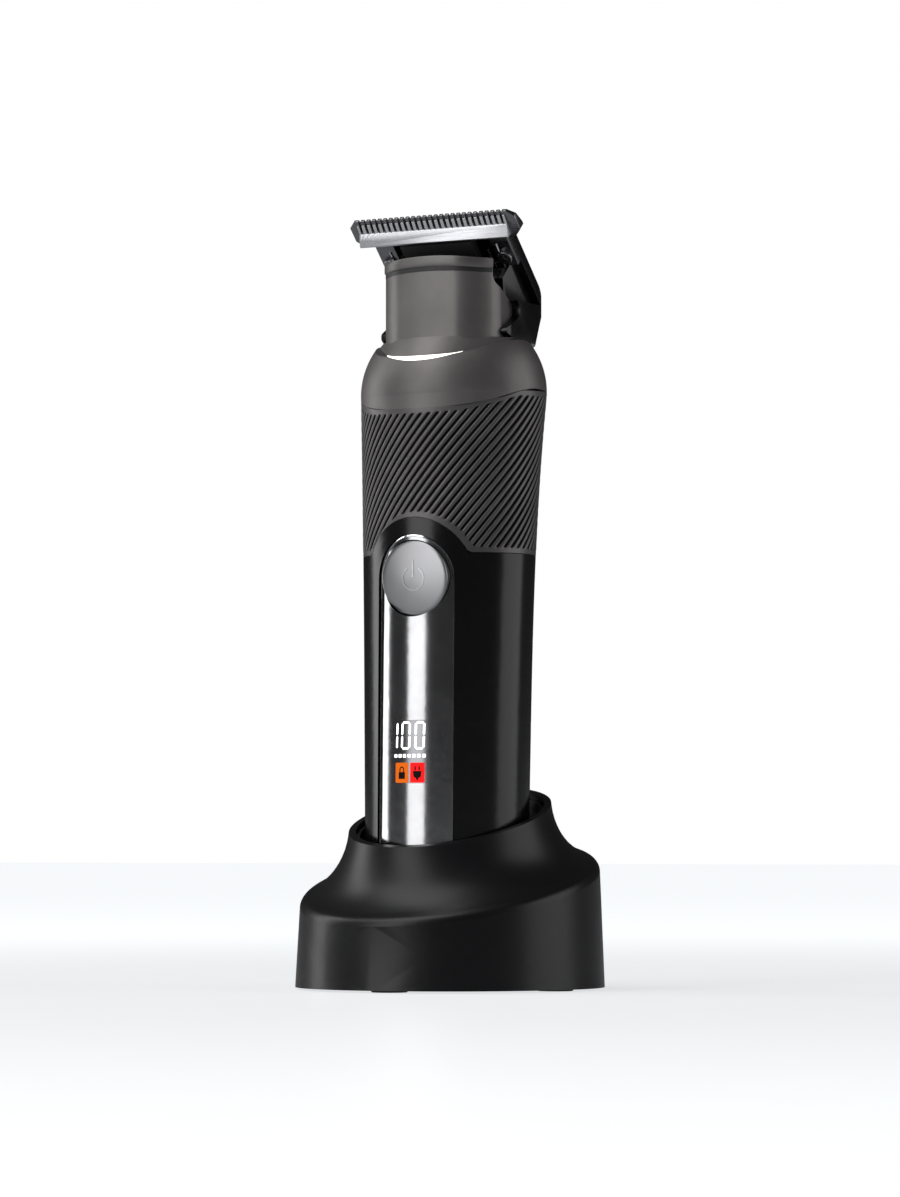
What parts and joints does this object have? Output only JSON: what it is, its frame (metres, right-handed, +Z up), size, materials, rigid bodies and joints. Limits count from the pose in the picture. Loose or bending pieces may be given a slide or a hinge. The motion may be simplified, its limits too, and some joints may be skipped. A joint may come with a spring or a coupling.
{
  "type": "body groomer with charging stand",
  "caption": "Cordless body groomer with a T-shaped blade, ribbed grip and lit display, standing in a flared round charging stand.",
  "frame": {"origin": "centre of the stand's bottom, on the surface it stands on", "axes": "+Z up along the stand's axis and the handle's length, the front and the button face -Y, +X to the right of someone facing the front from behind the object's -Y side"},
  "size_m": [0.0686, 0.0686, 0.1715],
  "materials": {
    "satin_black": "satin moulded plastic with a soft sheen",
    "liner_black": "matt moulded plastic",
    "gloss_black": "high-gloss moulded plastic",
    "grey_satin": "dark grey satin metallic coating",
    "grip_rubber": "soft-touch elastomer with diagonal ribs",
    "strip_mirror": "dark see-through mirror coating",
    "light_white": "milky light guide, lit white",
    "spun_metal": "spun and dished metal cap",
    "blade_dark": "dark ground steel",
    "blade_bright": "bright ground steel",
    "bright_steel": "plated steel",
    "screw_steel": "dark plated screws",
    "spring_steel": "spring wire and leaf",
    "contact_brass": "gold-plated contacts",
    "bush_brass": "sintered bronze bushes",
    "winding_copper": "copper winding on a laminated core",
    "ballast_iron": "plain iron",
    "board_green": "circuit board with solder mask",
    "cell_wrap": "shrink wrap on a lithium cell",
    "display_dark": "dark display window",
    "seal_rubber": "black rubber",
    "slider_white": "natural acetal"
  },
  "bodies": {
    "stand": {"stand_shell": "satin_black", "base_plate": "liner_black", "well_cup": "liner_black", "foot_1": "seal_rubber", "foot_2": "seal_rubber", "foot_3": "seal_rubber", "foot_4": "seal_rubber", "base_screws": "screw_steel", "ballast_ring": "ballast_iron", "charge_board": "board_green", "usb_inlet": "bright_steel", "pin_block": "liner_black", "pin_springs": "spring_steel"},
    "contact_pins": {"contact_pins": "contact_brass"},
    "handle": {"body_shell": "gloss_black", "grip_sleeve": "grip_rubber", "shoulder_collar": "grey_satin", "light_guide": "light_white", "front_strip": "strip_mirror", "bottom_cap": "gloss_black", "cap_screws": "screw_steel", "cap_seal": "seal_rubber", "charge_contacts": "contact_brass", "chassis": "liner_black", "battery_cell": "cell_wrap", "battery_tabs": "bright_steel", "main_board": "board_green", "display_module": "display_dark", "tact_switch": "display_dark", "button_spring": "spring_steel", "motor_can": "bright_steel", "motor_bushes": "bush_brass", "motor_magnets": "ballast_iron", "motor_bracket": "liner_black", "motor_screws": "screw_steel", "top_deck": "liner_black", "shaft_seal": "seal_rubber", "led_board": "board_green"},
    "button": {"power_button": "spun_metal"},
    "rotor": {"motor_shaft": "bright_steel", "armature": "winding_copper", "eccentric_cam": "slider_white"},
    "head": {"head_cover": "grey_satin", "blade_holder": "gloss_black", "fixed_blade": "blade_dark", "blade_screws": "screw_steel", "tension_spring": "spring_steel"},
    "cutter": {"moving_blade": "blade_bright", "drive_slider": "liner_black"}
  },
  "joints": [
    {"name": "pins_press", "type": "slide", "parent": "stand", "child": "contact_pins", "axis": [0, 0, 1], "range_m": [-0.0008, 0], "stiffness_N_per_m": 400, "springref_m": 0.0004, "deforming": ["pin_springs"]},
    {"name": "handle_lift", "type": "slide", "parent": "stand", "child": "handle", "axis": [0, 0, 1], "range_m": [0, 0.045]},
    {"name": "button_press", "type": "slide", "parent": "handle", "child": "button", "axis": [0, 1, 0], "range_m": [0, 0.0006], "stiffness_N_per_m": 1500, "springref_m": -0.0004, "deforming": ["button_spring"]},
    {"name": "rotor_turn", "type": "hinge", "parent": "handle", "child": "rotor", "pos_m": [0, -0.001, 0.13], "axis": [0, 0, -1], "range_deg": [-90, 90]},
    {"name": "head_pull", "type": "slide", "parent": "handle", "child": "head", "axis": [0, 0, 1], "range_m": [0, 0.012]},
    {"name": "cutter_slide", "type": "slide", "parent": "head", "child": "cutter", "axis": [1, 0, 0], "range_m": [-0.00137, 0.00137]}
  ],
  "couplings": [
    {"joint": "cutter_slide", "follows": "rotor_turn", "m_per_rad": 0.000869}
  ]
}
